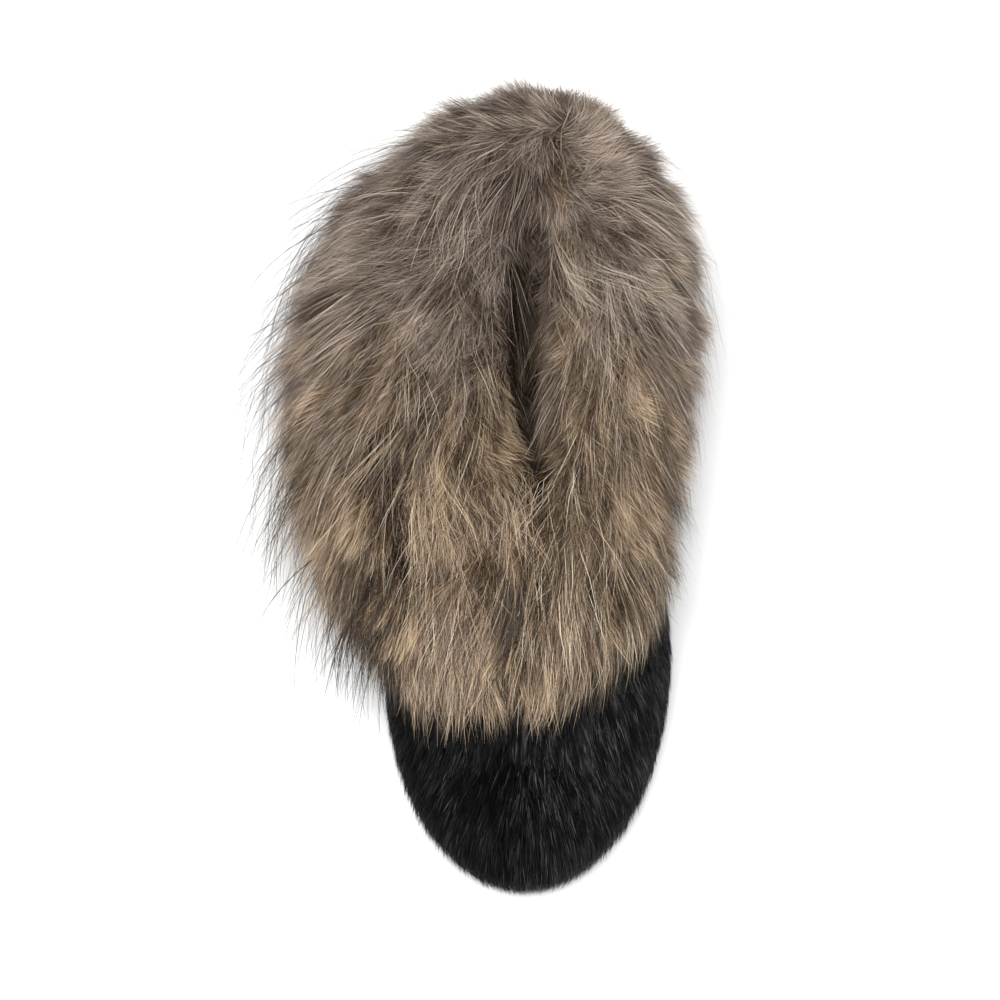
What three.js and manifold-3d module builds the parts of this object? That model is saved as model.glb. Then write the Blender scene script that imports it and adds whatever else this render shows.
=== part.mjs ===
// A right-foot fur slipper: outsole, insole, hollow short-haired upper and deep long-haired collar.
// Millimetres, +Z up, floor at Z = 0. The toe points to -Y and the inner side of the foot is +X.
// The origin lies on the underside of the sole, midway between toe and heel.
import * as THREE from "three";
import { mergeVertices } from "three/addons/utils/BufferGeometryUtils.js";
import Module from "manifold-3d";

const wasm = await Module();
wasm.setup();

// Driving sizes. "at" is always the distance behind the tip of the toe.
const LENGTH = 256;
const FIT = 0.3;
const WALL = 3;

const outsole = { thickness: 5, rounding: 1.6, toeSpring: 4, springFrom: 42 };
const insole = { thickness: 4, rounding: 1, clearance: 0.6 };

// Sole outline: widest at the ball, narrowest at the waist, round at the toe and the heel.
const plan = {
  ball: { at: 86, medial: 47.5, lateral: 50 },
  waist: { at: 168, medial: 34, lateral: 38 },
  heel: { at: 214, medial: 34, lateral: 34.5 },
  toeFullness: 1.95,
  heelFullness: 2.2,
  stations: 20,
};

// The upper closes over a ridge line. Behind the throat the ridge is above the topline and is cut away.
const upperForm = { bulge: 3, acrossFullness: 0.85, upFullness: 0.8, steps: 9 };
const ridge = [
  { at: 34, height: 30 },
  { at: 62, height: 41 },
  { at: 95, height: 56 },
  { at: 125, height: 71 },
  { at: 165, height: 104 },
  { at: 222, height: 112 },
];
const topline = [
  { at: 110, height: 96 },
  { at: 122, height: 72 },
  { at: 140, height: 60 },
  { at: 170, height: 55 },
  { at: 205, height: 54 },
  { at: 235, height: 57 },
  { at: 265, height: 62 },
];

// Fur collar. Hair rises from the oval of the topline, turns over a crest and falls outward to a hem.
// Turn 0 is the throat, 90 the outer side, 180 the heel and 270 the inner side.
const oval = { centre: 186, front: 64, back: 63, half: 33 };
const collarSteps = { round: 40, along: 9 };
const collar = [
  { turn: 0, lean: 3, crest: 88, reach: 65, belly: 62, hem: 43, tuck: 1.1, sweep: 0 },
  { turn: 45, lean: 4, crest: 93, reach: 62, belly: 50, hem: 26, tuck: 0.98, sweep: -8 },
  { turn: 90, lean: 4, crest: 99, reach: 57, belly: 48, hem: 22, tuck: 0.87, sweep: -12 },
  { turn: 135, lean: 4, crest: 104, reach: 52, belly: 50, hem: 24, tuck: 0.83, sweep: -10 },
  { turn: 180, lean: 4, crest: 106, reach: 40, belly: 54, hem: 27, tuck: 0.82, sweep: 0 },
  { turn: 225, lean: 4, crest: 104, reach: 33, belly: 53, hem: 29, tuck: 0.83, sweep: 8 },
  { turn: 270, lean: 4, crest: 99, reach: 26, belly: 50, hem: 32, tuck: 0.88, sweep: 10 },
  { turn: 315, lean: 4, crest: 93, reach: 31, belly: 54, hem: 38, tuck: 0.96, sweep: 7 },
];

// Locks fused to the collar. "from" and "to" are shares of the way from mouth to hem, and "flare" is
// how much further the tips stand off on the outer side, where the hair is longest.
const lockRows = [
  { count: 22, from: 0.22, to: 0.58, width: 8, depth: 3.6, lift: 4, overhang: 7, flare: 1 },
  { count: 26, from: 0.4, to: 0.82, width: 8.5, depth: 3.8, lift: 5, overhang: 9, flare: 4 },
  { count: 29, from: 0.62, to: 0.99, width: 8, depth: 3.6, lift: 4, overhang: 13, flare: 10 },
];
const lockSteps = { around: 6, along: 4 };

// Small helpers
const mix = (a, b, t) => a + (b - a) * t;
const ease = (t) => t * t * (3 - 2 * t);
const vary = (index, salt) => {
  const wave = Math.sin(index * 12.9898 + salt * 78.233) * 43758.5453;
  return wave - Math.floor(wave);
};

// Smooth value between four neighbouring numbers, at share t between the middle two.
function spline(before, left, right, after, t) {
  const slopeLeft = (right - before) / 2;
  const slopeRight = (after - left) / 2;
  const t2 = t * t;
  const t3 = t2 * t;
  const hold = (2 * t3 - 3 * t2 + 1) * left + (3 * t2 - 2 * t3) * right;
  return hold + (t3 - 2 * t2 + t) * slopeLeft + (t3 - t2) * slopeRight;
}

function alongFoot(rows, at) {
  const last = rows.length - 1;
  if (at <= rows[0].at) return rows[0].height;
  if (at >= rows[last].at) return rows[last].height;
  const i = rows.findIndex((row) => row.at > at) - 1;
  const share = (at - rows[i].at) / (rows[i + 1].at - rows[i].at);
  const before = rows[Math.max(i - 1, 0)].height;
  const after = rows[Math.min(i + 2, last)].height;
  return spline(before, rows[i].height, rows[i + 1].height, after, share);
}

function roundCollar(column, turn) {
  const count = collar.length;
  const place = (((turn % 360) + 360) % 360) / (360 / count);
  const i = Math.floor(place);
  const value = (k) => collar[(k + count) % count][column];
  return spline(value(i - 1), value(i), value(i + 1), value(i + 2), place - i);
}

// Solids
function meshGeometry(points, faces) {
  const geometry = new THREE.BufferGeometry().setFromPoints(points);
  geometry.setIndex(faces.flat());
  return mergeVertices(geometry, 1e-4);
}

function solid(geometry) {
  const bare = geometry.clone();
  bare.deleteAttribute("normal");
  bare.deleteAttribute("uv");
  const welded = mergeVertices(bare, 1e-4);
  const vertProperties = new Float32Array(welded.attributes.position.array);
  const triVerts = new Uint32Array(welded.index.array);
  return new wasm.Manifold(new wasm.Mesh({ numProp: 3, vertProperties, triVerts }));
}

function largest(body) {
  return body.decompose().reduce((best, piece) => (piece.volume() > best.volume() ? piece : best));
}

function mesh(name, body, material) {
  const { numProp, vertProperties, triVerts } = body.getMesh();
  const geometry = new THREE.BufferGeometry();
  const position = new Float32Array((vertProperties.length / numProp) * 3);
  for (let i = 0; i < position.length / 3; i += 1) {
    position.set(vertProperties.subarray(i * numProp, i * numProp + 3), i * 3);
  }
  geometry.setAttribute("position", new THREE.BufferAttribute(position, 3));
  geometry.setIndex([...triVerts]);
  geometry.computeVertexNormals();
  const result = new THREE.Mesh(geometry, material);
  result.name = name;
  return result;
}

// Sole outline
const rounded = (t, fullness) => Math.pow(Math.max(1 - Math.pow(t, fullness), 0), 1 / fullness);

function halfWidth(side, at) {
  const { ball, waist, heel } = plan;
  if (at < ball.at) return ball[side] * rounded(1 - at / ball.at, plan.toeFullness);
  if (at < waist.at) return mix(ball[side], waist[side], ease((at - ball.at) / (waist.at - ball.at)));
  if (at < heel.at) return mix(waist[side], heel[side], ease((at - waist.at) / (heel.at - waist.at)));
  return heel[side] * rounded((at - heel.at) / (LENGTH - heel.at), plan.heelFullness);
}

const stationShare = (i) => (1 - Math.cos((Math.PI * i) / plan.stations)) / 2;
const stationOf = (i) => (i <= plan.stations ? i : 2 * plan.stations - i);
const springAt = (at) => outsole.toeSpring * Math.pow(Math.max(1 - at / outsole.springFrom, 0), 2);

// Closed loop of stations: toe, medial side, heel, lateral side, moved outward by "grow".
function outline(grow) {
  const count = 2 * plan.stations;
  const bare = [...Array(count).keys()].map((i) => {
    const at = LENGTH * stationShare(stationOf(i));
    const x = i <= plan.stations ? halfWidth("medial", at) : -halfWidth("lateral", at);
    return new THREE.Vector2(x, at);
  });
  return bare.map((point, i) => {
    const run = bare[(i + 1) % count].clone().sub(bare[(i + count - 1) % count]).normalize();
    return new THREE.Vector2(point.x + run.y * grow, point.y - run.x * grow);
  });
}

// Skin over a stack of outline loops, bottom first, closed below and above across the two sides.
function stack(rings) {
  const count = rings[0].length;
  const half = count / 2;
  const faces = [];
  for (let k = 0; k + 1 < rings.length; k += 1) {
    for (let i = 0; i < count; i += 1) {
      const a = k * count + i;
      const b = k * count + ((i + 1) % count);
      faces.push([a, b, b + count], [a, b + count, a + count]);
    }
  }
  const top = (rings.length - 1) * count;
  for (let i = 0; i < half; i += 1) {
    const [a, b] = [i, i + 1];
    const [c, d] = [(count - i - 1) % count, (count - i) % count];
    faces.push([a, c, b], [a, d, c]);
    faces.push([top + a, top + b, top + c], [top + a, top + c, top + d]);
  }
  const whole = faces.filter(([a, b, c]) => a !== b && b !== c && c !== a);
  return [rings.flat(), whole];
}

const level = (loop, height) =>
  loop.map(({ x, y }) => new THREE.Vector3(x, y - LENGTH / 2, height + springAt(y)));

function slab(grow, bottom, thickness, rounding) {
  const rings = [
    level(outline(grow - rounding), bottom),
    level(outline(grow - rounding * 0.3), bottom + rounding * 0.3),
    level(outline(grow), bottom + rounding),
    level(outline(grow), bottom + thickness - rounding * 0.5),
    level(outline(grow - rounding * 0.5), bottom + thickness),
  ];
  return solid(meshGeometry(...stack(rings)));
}

// Upper: a domed form over the outline, moved outward by "grow", its foot lowered by "drop".
const upperFoot = outsole.thickness + FIT;

function domed(grow, drop) {
  const base = outline(grow);
  const loops = [base.map(({ x, y }) => new THREE.Vector3(x, y - LENGTH / 2, upperFoot - drop + springAt(y)))];
  for (let k = drop > 0 ? 0 : 1; k <= upperForm.steps; k += 1) {
    const angle = (Math.PI / 2) * (k / upperForm.steps);
    const inward = 1 - Math.pow(Math.cos(angle), upperForm.acrossFullness);
    const upward = Math.pow(Math.sin(angle), upperForm.upFullness);
    const swollen = outline(grow + upperForm.bulge * Math.sin(2 * angle));
    loops.push(swollen.map((point, i) => ridged(point, stationShare(stationOf(i)), grow, inward, upward)));
  }
  const [points, faces] = stack(loops);
  return solid(closeRidge(points, faces, loops.length));
}

// One point of the form, drawn in toward the ridge and up by the given shares.
function ridged({ x, y }, share, grow, inward, upward) {
  const at = mix(y, mix(ridge[0].at, ridge[ridge.length - 1].at, share), inward);
  const height = (alongFoot(ridge, at) + grow) * upward + springAt(y) * (1 - upward);
  const across = inward > 0.999 ? 0 : mix(x, 0, inward);
  return new THREE.Vector3(across, at - LENGTH / 2, upperFoot + height);
}

// The last loop has folded onto the ridge, so its two sides weld and its closing faces fall away.
function closeRidge(points, faces, loopCount) {
  const count = points.length / loopCount;
  const top = points.length - count;
  const sides = faces.filter((face) => face.some((index) => index < top));
  const welded = meshGeometry(points, sides);
  const index = [...welded.index.array];
  const kept = [];
  for (let i = 0; i < index.length; i += 3) {
    const [a, b, c] = index.slice(i, i + 3);
    if (a !== b && b !== c && c !== a) kept.push(a, b, c);
  }
  welded.setIndex(kept);
  return welded;
}

// Everything above the topline, moved up by "raise".
function aboveTopline(raise) {
  const run = [];
  for (let at = topline[0].at; at <= topline[topline.length - 1].at; at += 5) {
    run.push(new THREE.Vector2(at - LENGTH / 2, alongFoot(topline, at) + raise));
  }
  const end = run[run.length - 1];
  const shape = new THREE.Shape([...run, new THREE.Vector2(end.x, 160), new THREE.Vector2(run[0].x, 160)]);
  const prism = new THREE.ExtrudeGeometry(shape, { depth: 140, bevelEnabled: false });
  prism.translate(0, 0, -70);
  const upright = new THREE.Matrix4().makeBasis(
    new THREE.Vector3(0, 1, 0),
    new THREE.Vector3(0, 0, 1),
    new THREE.Vector3(1, 0, 0),
  );
  return solid(prism.applyMatrix4(upright));
}

// Fur collar: the way a hair takes at one turn round the oval, from the mouth to the hem.
function ovalFrame(turn) {
  const angle = THREE.MathUtils.degToRad(turn);
  const reach = Math.cos(angle) > 0 ? oval.front : oval.back;
  const x = -oval.half * Math.sin(angle);
  const y = -reach * Math.cos(angle);
  const out = new THREE.Vector3(x / oval.half ** 2, y / reach ** 2, 0).normalize();
  const round = new THREE.Vector3(out.y, -out.x, 0);
  return { start: new THREE.Vector3(x, oval.centre + y - LENGTH / 2, 0), out, round };
}

function fall(turn) {
  const { start, out, round } = ovalFrame(turn);
  const [lean, crest, reach, belly, hem, tuck, sweep] = [
    "lean", "crest", "reach", "belly", "hem", "tuck", "sweep",
  ].map((column) => roundCollar(column, turn));
  const rim = alongFoot(topline, start.y + LENGTH / 2);
  const place = (outward, height, swept) =>
    start.clone().addScaledVector(out, outward).addScaledVector(round, swept).setZ(height);
  const way = [
    place(-lean * 0.5, rim - 3, 0),
    place(-lean, mix(rim, crest, 0.55), 0),
    place(reach * 0.1, crest, sweep * 0.1),
    place(reach * 0.66, mix(belly, crest, 0.72), sweep * 0.4),
    place(reach, belly, sweep * 0.75),
    place(reach * tuck, hem, sweep),
  ];
  const under = [place(reach * 0.45, mix(hem, rim, 0.2), sweep * 0.5), place(-12, rim - 22, 0)];
  return { curve: new THREE.CatmullRomCurve3(way), under, round };
}

// Ring of closed sections, each the hair's way out and a way back inside the upper.
function mane() {
  const sections = [...Array(collarSteps.round).keys()].map((k) => {
    const { curve, under } = fall((360 * k) / collarSteps.round);
    return [...curve.getPoints(collarSteps.along), ...under];
  });
  const count = sections[0].length;
  const faces = [];
  for (let k = 0; k < sections.length; k += 1) {
    const here = k * count;
    const next = ((k + 1) % sections.length) * count;
    for (let i = 0; i < count; i += 1) {
      const j = (i + 1) % count;
      faces.push([here + i, next + i, next + j], [here + i, next + j, here + j]);
    }
  }
  return solid(meshGeometry(sections.flat(), faces));
}

// One tapered lock along the fall of the hair, its tip standing off the collar.
function lock(row, index, salt) {
  const turn = (360 * (index + 0.7 * vary(index, salt))) / row.count;
  const { curve, round } = fall(turn);
  const size = mix(0.8, 1.2, vary(index, salt + 1));
  const to = row.to - 0.1 * vary(index, salt + 2);
  const lift = row.lift + row.flare * Math.max(Math.sin(THREE.MathUtils.degToRad(turn)), 0);
  const lifted = (share, height) => {
    const run = curve.getTangent(share);
    const up = new THREE.Vector3().crossVectors(round, run).normalize();
    return curve.getPoint(share).addScaledVector(up, height);
  };
  const tip = lifted(to, lift * size).addScaledVector(curve.getTangent(to), row.overhang * size);
  const path = new THREE.CatmullRomCurve3([
    lifted(row.from, -row.depth * 0.6),
    lifted(mix(row.from, to, 0.5), lift * 0.25),
    lifted(to, lift * 0.6),
    tip,
  ]);
  const points = [];
  for (let k = 0; k < lockSteps.along; k += 1) {
    const share = k / lockSteps.along;
    const girth = size * Math.pow(Math.sin(Math.PI * (0.2 + 0.8 * share)), 0.8);
    const up = new THREE.Vector3().crossVectors(round, path.getTangent(share)).normalize();
    for (let i = 0; i < lockSteps.around; i += 1) {
      const angle = (2 * Math.PI * i) / lockSteps.around;
      const point = path.getPoint(share);
      point.addScaledVector(round, -Math.cos(angle) * girth * row.width);
      point.addScaledVector(up, Math.sin(angle) * girth * row.depth);
      points.push(point);
    }
  }
  points.push(tip);
  return solid(meshGeometry(points, lockFaces()));
}

function lockFaces() {
  const { around, along } = lockSteps;
  const tip = around * along;
  const faces = [];
  for (let i = 0; i < around; i += 1) {
    const j = (i + 1) % around;
    for (let k = 0; k + 1 < along; k += 1) {
      const [a, b] = [k * around + i, k * around + j];
      faces.push([a, b, b + around], [a, b + around, a + around]);
    }
    faces.push([tip - around + i, tip - around + j, tip]);
    if (i > 0 && j > 0) faces.push([0, j, i]);
  }
  return faces;
}

// Assembly
const soleBody = slab(0, 0, outsole.thickness, outsole.rounding);
const footbed = slab(-WALL - insole.clearance, upperFoot, insole.thickness, insole.rounding);
const upperBody = largest(domed(0, 0).subtract(domed(-WALL, 12)).subtract(aboveTopline(0)));

const keptClear = domed(FIT, 0).subtract(aboveTopline(FIT));
let fur = mane();
lockRows.forEach((row, salt) => {
  for (let i = 0; i < row.count; i += 1) fur = fur.add(lock(row, i, 7 * salt));
});
const furBody = largest(fur.subtract(keptClear));

const looks = {
  outsole: new THREE.MeshStandardMaterial({ color: 0x1b1a1a, roughness: 0.8 }),
  insole: new THREE.MeshStandardMaterial({ color: 0x2a2523, roughness: 0.9 }),
  upper: new THREE.MeshStandardMaterial({ color: 0x141416, roughness: 0.6 }),
  fur: new THREE.MeshStandardMaterial({ color: 0x7d6d60, roughness: 0.85 }),
};

const slipper = new THREE.Group();
slipper.add(
  mesh("outsole", soleBody, looks.outsole),
  mesh("insole", footbed, looks.insole),
  mesh("upper", upperBody, looks.upper),
  mesh("fur_collar", furBody, looks.fur),
);

export default slipper;
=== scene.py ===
"""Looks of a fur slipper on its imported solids: short black hair on the upper, long fur on the collar."""

import math

import bpy
import numpy as np
from mathutils import Matrix, Vector
from mathutils.kdtree import KDTree


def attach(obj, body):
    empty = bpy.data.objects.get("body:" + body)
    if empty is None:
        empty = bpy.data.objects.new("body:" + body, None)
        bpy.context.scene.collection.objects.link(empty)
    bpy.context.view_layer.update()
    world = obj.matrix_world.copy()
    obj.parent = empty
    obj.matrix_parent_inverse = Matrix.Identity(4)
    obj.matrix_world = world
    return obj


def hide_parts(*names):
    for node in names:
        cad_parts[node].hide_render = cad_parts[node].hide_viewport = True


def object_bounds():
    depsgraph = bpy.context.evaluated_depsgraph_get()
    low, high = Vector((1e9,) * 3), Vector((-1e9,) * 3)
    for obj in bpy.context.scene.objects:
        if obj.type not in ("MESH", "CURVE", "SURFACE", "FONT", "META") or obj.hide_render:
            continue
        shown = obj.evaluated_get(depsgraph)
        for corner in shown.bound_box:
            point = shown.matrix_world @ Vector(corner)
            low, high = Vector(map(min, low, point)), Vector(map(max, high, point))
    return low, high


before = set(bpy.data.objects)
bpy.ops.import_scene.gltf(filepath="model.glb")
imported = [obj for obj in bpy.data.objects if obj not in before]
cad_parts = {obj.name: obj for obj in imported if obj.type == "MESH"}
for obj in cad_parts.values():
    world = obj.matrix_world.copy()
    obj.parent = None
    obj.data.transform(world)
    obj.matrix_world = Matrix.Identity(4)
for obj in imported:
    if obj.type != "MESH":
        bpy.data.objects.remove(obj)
cad_box = [list(corner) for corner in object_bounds()]

# Sizes in millimetres, as on the solids. Distances along the foot are behind the tip of the toe.
MM = 0.001
LENGTH = 256.0
FOOT = 5.3
BALL = {"at": 86.0, "medial": 47.5, "lateral": 50.0}
WAIST = {"at": 168.0, "medial": 34.0, "lateral": 38.0}
HEEL = {"at": 214.0, "medial": 34.0, "lateral": 34.5}
TOE_FULLNESS = 1.95
HEEL_FULLNESS = 2.2
TOE_SPRING = 4.0
SPRING_FROM = 42.0
BULGE = 3.0
ACROSS_FULLNESS = 0.85
UP_FULLNESS = 0.8
RIDGE_AT = np.array([34.0, 62.0, 95.0, 125.0, 165.0, 222.0])
RIDGE_HEIGHT = np.array([30.0, 41.0, 56.0, 71.0, 104.0, 112.0])
TOPLINE_AT = np.array([110.0, 122.0, 140.0, 170.0, 205.0, 235.0, 265.0])
TOPLINE_HEIGHT = np.array([96.0, 72.0, 60.0, 55.0, 54.0, 57.0, 62.0])

# Collar, one value for each eighth of a turn: throat, outer side at 90, heel at 180, inner side at 270.
OVAL = {"centre": 186.0, "front": 64.0, "back": 63.0, "half": 33.0}
COLLAR = {
    "lean": np.array([1.0, 22.0, 31.5, 25.0, 16.0, 24.0, 29.5, 21.0]),
    "crest": np.array([84.0, 91.0, 99.0, 106.0, 110.0, 106.0, 99.0, 91.0]),
    "reach": np.array([65.0, 62.0, 60.0, 57.0, 43.0, 35.0, 26.0, 30.0]),
    "belly": np.array([62.0, 50.0, 48.0, 50.0, 54.0, 53.0, 50.0, 54.0]),
    "hem": np.array([46.0, 27.0, 24.0, 26.0, 29.0, 31.0, 34.0, 40.0]),
    "tuck": np.array([1.06, 0.98, 0.87, 0.83, 0.82, 0.83, 0.88, 0.95]),
}
# Points of the collar's section as shares of lean, reach and height, and how far it starts below the rim
SECTION = {
    "rim_lean": 0.45,
    "rim_drop": 4.0,
    "inner_rise": 0.62,
    "crest_out": 0.06,
    "outer_out": 0.66,
    "outer_rise": 0.72,
}
# Way the hair is combed in plan, in degrees outward from the toe, by turn and by how far down the collar
COMB = {
    "turn": np.array([0.0, 20.0, 45.0, 90.0, 135.0, 160.0, 180.0]),
    "mouth": np.array([0.0, 0.0, -3.0, -10.0, -8.0, 0.0, 0.0]),
    "crest": np.array([0.0, 8.0, 14.0, 26.0, 50.0, 92.0, 160.0]),
    "belly": np.array([0.0, 10.0, 24.0, 46.0, 70.0, 112.0, 170.0]),
    "hem": np.array([0.0, 14.0, 30.0, 52.0, 76.0, 125.0, 178.0]),
}
COMB_SHARES = {"mouth": 0.13, "crest": 0.32, "belly": 0.65, "hem": 1.0}
# Turn behind the heel where the hair of both sides parts, and the whorl there: its half width in degrees,
# and how far down the collar it moves the rows of the comb
HEEL_PARTING = 191.0
WHORL = {"wide": 32.0, "shift": 0.17}
# Lines where the hair parts, in plan: ends, half width, how far the hair sinks, how many degrees it turns
# aside, and its change of tone. The darker tone is partly the underfur that shows in the parting and partly
# painted shade of its valley; the last line is the crease, whose dark tone is painted shade.
PARTINGS = [
    {"ends": ((-51.0, 16.0), (-44.0, -42.0)), "wide": 8.0, "sink": 8.0, "aside": 16.0, "tone": -0.3},
    {"ends": ((5.0, -6.0), (1.0, -62.0)), "wide": 6.0, "sink": 5.0, "aside": 9.0, "tone": -0.2},
    {"ends": ((-3.0, 76.0), (4.0, -14.0)), "wide": 4.8, "sink": 23.0, "aside": 0.0, "tone": -0.75},
]
# Paler and darker areas of the fur, in plan: middle, reach across and along, change of tone and of gold.
# Most are the fur's own tone; the marked ones are painted light or painted shade.
AREAS = [
    {"at": (-31.0, -19.0), "across": 8.0, "along": 17.0, "tone": 0.24, "gold": 0.1},
    {"at": (-9.0, 0.0), "across": 7.0, "along": 13.0, "tone": 0.22, "gold": 0.2},
    {"at": (-1.0, -30.0), "across": 4.0, "along": 9.0, "tone": 0.14, "gold": 0.1},
    {"at": (36.0, -26.0), "across": 8.0, "along": 18.0, "tone": 0.08, "gold": 0.05},
    {"at": (-46.0, -57.0), "across": 8.0, "along": 10.0, "tone": 0.16, "gold": 0.1},
    {"at": (0.0, -79.0), "across": 32.0, "along": 9.0, "tone": 0.18, "gold": 0.1},
    {"at": (5.0, -73.0), "across": 9.0, "along": 8.0, "tone": 0.14, "gold": 0.1},
    # painted shade where the crease ends at the throat
    {"at": (4.0, -15.0), "across": 4.0, "along": 8.0, "tone": -0.25, "gold": 0.1},
    # painted shade, a shadow band above the fringe
    {"at": (-5.0, -54.0), "across": 16.0, "along": 12.0, "tone": -0.3, "gold": 0.0},
    {"at": (33.0, -48.0), "across": 9.0, "along": 10.0, "tone": -0.14, "gold": 0.0},
    # painted shade along the parting on the outer side
    {"at": (-49.0, -12.0), "across": 6.0, "along": 20.0, "tone": -0.12, "gold": -0.2},
    # this and the next: painted light on the outer edge of the fur, where its shaded underside shows
    {"at": (-96.0, 34.0), "across": 18.0, "along": 56.0, "tone": 0.32, "gold": 0.05},
    {"at": (-76.0, -34.0), "across": 14.0, "along": 24.0, "tone": 0.44, "gold": 0.1},
    {"at": (-34.0, 40.0), "across": 14.0, "along": 22.0, "tone": 0.06, "gold": -0.15},
    {"at": (-60.0, 80.0), "across": 9.0, "along": 10.0, "tone": -0.08, "gold": -0.1},
    {"at": (12.0, 74.0), "across": 5.0, "along": 18.0, "tone": 0.28, "gold": 0.4},
    {"at": (11.0, 46.0), "across": 4.5, "along": 14.0, "tone": 0.3, "gold": 0.4},
    {"at": (33.0, 22.0), "across": 9.0, "along": 18.0, "tone": 0.1, "gold": 0.15},
    {"at": (7.0, 102.0), "across": 6.0, "along": 9.0, "tone": 0.2, "gold": 0.5},
    {"at": (26.0, 50.0), "across": 14.0, "along": 34.0, "tone": 0.18, "gold": 0.0},
    # painted shade along the crease
    {"at": (-2.0, 60.0), "across": 5.0, "along": 26.0, "tone": -0.3, "gold": 0.2},
]
# Shares of the way down where the hairs of the front end: the shortest, and what locks and single hairs add.
# Hair that would sink into the toe runs forward over it.
FRINGE = {"from": 0.95, "by_lock": 0.09, "by_hair": 0.14, "forward": 0.8}
# How much the comb pulls the hair down, by share of the way down the collar
FALL = {"share": [-0.1, 0.1, 0.3, 0.6, 1.0], "weight": [0.9, 0.2, 0.15, 0.5, 0.9]}
# Regions of the collar: where each starts and over how much it fades in, by the cosine of the turn, which is
# 1 at the throat, and by the share of the way down
REGIONS = {
    "throat": ((0.4, 0.4), (0.4, -0.2)),
    "front_hem": ((0.5, 0.4), (0.6, 0.25)),
    "bare_hem": ((0.4, 0.3), (0.78, 0.1)),
}

DENSITY = 1.0


def smooth_between(before, left, right, after, t):
    slope_left = (right - before) / 2
    slope_right = (after - left) / 2
    hold = (2 * t**3 - 3 * t**2 + 1) * left + (3 * t**2 - 2 * t**3) * right
    return hold + (t**3 - 2 * t**2 + t) * slope_left + (t**3 - t**2) * slope_right


def along_foot(at_rows, heights, at):
    """Smooth height at a distance along the foot, from rows of distances and heights."""
    last = len(at_rows) - 1
    at = np.clip(at, at_rows[0], at_rows[-1])
    i = np.clip(np.searchsorted(at_rows, at, side="right") - 1, 0, last - 1)
    t = (at - at_rows[i]) / (at_rows[i + 1] - at_rows[i])
    before = heights[np.maximum(i - 1, 0)]
    after = heights[np.minimum(i + 2, last)]
    return smooth_between(before, heights[i], heights[i + 1], after, t)


def round_collar(column, turn):
    """Smooth value of one of the collar's columns at a turn."""
    rows = COLLAR[column]
    place = np.mod(turn, 360.0) / 45.0
    i = np.floor(place).astype(int)
    pick = [rows[(i + k) % 8] for k in (-1, 0, 1, 2)]
    return smooth_between(*pick, place - i)


def unit(vectors):
    return vectors / np.maximum(np.linalg.norm(vectors, axis=-1, keepdims=True), 1e-9)


def ease(t):
    t = np.clip(t, 0, 1)
    return t * t * (3 - 2 * t)


def fade(value, start, over):
    """0 before start and 1 past the stretch over, which is negative where it runs downward."""
    return ease((value - start) / over)


def region(name, turn, share):
    """0 outside a region of the collar and 1 well inside it."""
    by_cosine, by_share = REGIONS[name]
    return fade(np.cos(np.radians(turn)), *by_cosine) * fade(share, *by_share)


def near_heel(turn, wide):
    """1 at the parting behind the heel, less to both sides of it."""
    return np.exp(-(((np.mod(turn, 360.0) - HEEL_PARTING) / wide) ** 2))


FIELD_HEIGHT = 0.7


def waves(rng, count, turn_rate, share_rate):
    """A smooth random field over turn, with whole waves round the collar, and share. It is near -1 to 1."""
    around = rng.integers(1, turn_rate + 1, count) * rng.choice([-1, 1], count)
    along = rng.uniform(-share_rate, share_rate, count)
    phase = rng.uniform(0, 2 * np.pi, count)

    def field(turn, share):
        total = np.zeros(np.broadcast(turn, share).shape)
        for a, b, p in zip(around, along, phase):
            total += np.sin(np.radians(turn) * a + share * b + p)
        return total / math.sqrt(count / 2) * FIELD_HEIGHT

    return field


# Collar form: where the hair lies, for every turn and share of the way from mouth to hem
TURNS = 240
SHARES = np.linspace(-0.14, 1.26, 85)
# Steps of a fall line, how many of them give its direction at the ends, and how much it droops at the hem
CURVE = {"steps": 160, "end_steps": 4, "droop": 0.25}
# Limits of one step over the collar: degrees of turn, and how far its two directions close up on each other
STEP = {"turn": 20.0, "spread": 0.05}


def comb_side(turn):
    """-1 where hair is combed to the outer side and 1 where it is combed to the inner side."""
    return np.where(np.mod(turn, 360.0) < HEEL_PARTING, -1.0, 1.0)


def comb_angle(turn, share):
    whole = np.mod(turn, 360.0)
    inner = (360 - whole) / (360 - HEEL_PARTING)
    from_toe = 180 * np.where(comb_side(turn) < 0, whole / HEEL_PARTING, inner)
    shift = WHORL["shift"] * np.exp(-(((180 - from_toe) / WHORL["wide"]) ** 2))
    place = np.interp(share - shift, list(COMB_SHARES.values()), np.arange(len(COMB_SHARES)))
    angle = 0
    for k, row in enumerate(COMB_SHARES):
        angle = angle + np.interp(from_toe, COMB["turn"], COMB[row]) * np.maximum(1 - np.abs(place - k), 0)
    return np.radians(angle)


def fall_lines(turn):
    """Control points of the collar's section from mouth to hem, at each turn."""
    angle = np.radians(turn)
    reach_along = np.where(np.cos(angle) > 0, OVAL["front"], OVAL["back"])
    x = -OVAL["half"] * np.sin(angle)
    y = -reach_along * np.cos(angle)
    out = unit(np.stack([x / OVAL["half"] ** 2, y / reach_along**2, np.zeros_like(x)], -1))
    start = np.stack([x, OVAL["centre"] + y - LENGTH / 2, np.zeros_like(x)], -1)
    lean, crest, reach, belly, hem, tuck = [round_collar(column, turn) for column in COLLAR]
    rim = along_foot(TOPLINE_AT, TOPLINE_HEIGHT, start[:, 1] + LENGTH / 2)

    def place(outward, height):
        point = start + out * outward[:, None]
        point[:, 2] = height
        return point

    return np.stack(
        [
            place(-lean * SECTION["rim_lean"], rim - SECTION["rim_drop"]),
            place(-lean, rim + (crest - rim) * SECTION["inner_rise"]),
            place(reach * SECTION["crest_out"], crest),
            place(reach * SECTION["outer_out"], belly + (crest - belly) * SECTION["outer_rise"]),
            place(reach, belly),
            place(reach * tuck, hem),
        ],
        1,
    )


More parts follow.
